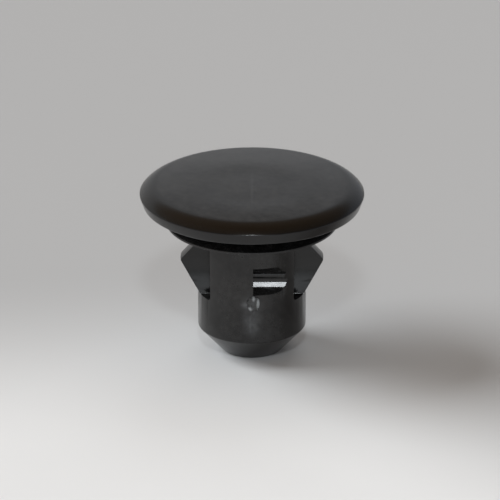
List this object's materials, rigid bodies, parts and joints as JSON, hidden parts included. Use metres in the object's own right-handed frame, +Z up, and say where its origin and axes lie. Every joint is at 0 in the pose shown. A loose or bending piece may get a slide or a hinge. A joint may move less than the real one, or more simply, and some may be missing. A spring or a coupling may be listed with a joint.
{
  "type": "trunk trim clip",
  "caption": "Moulded push-in trim clip with a domed round head, a thin seat skirt, a hollow tapered shank and snap wings that lock behind a panel.",
  "frame": {"origin": "centre of the tip's face, on the shank's axis, where the clip stands", "axes": "+Z up the shank towards the head, the wings along X, the gate's stub towards -Y"},
  "size_m": [0.02, 0.02, 0.0161],
  "materials": {
    "clip_plastic": "black moulded plastic with a satin skin"
  },
  "bodies": {
    "root": {"trim_clip": "clip_plastic"}
  },
  "joints": []
}
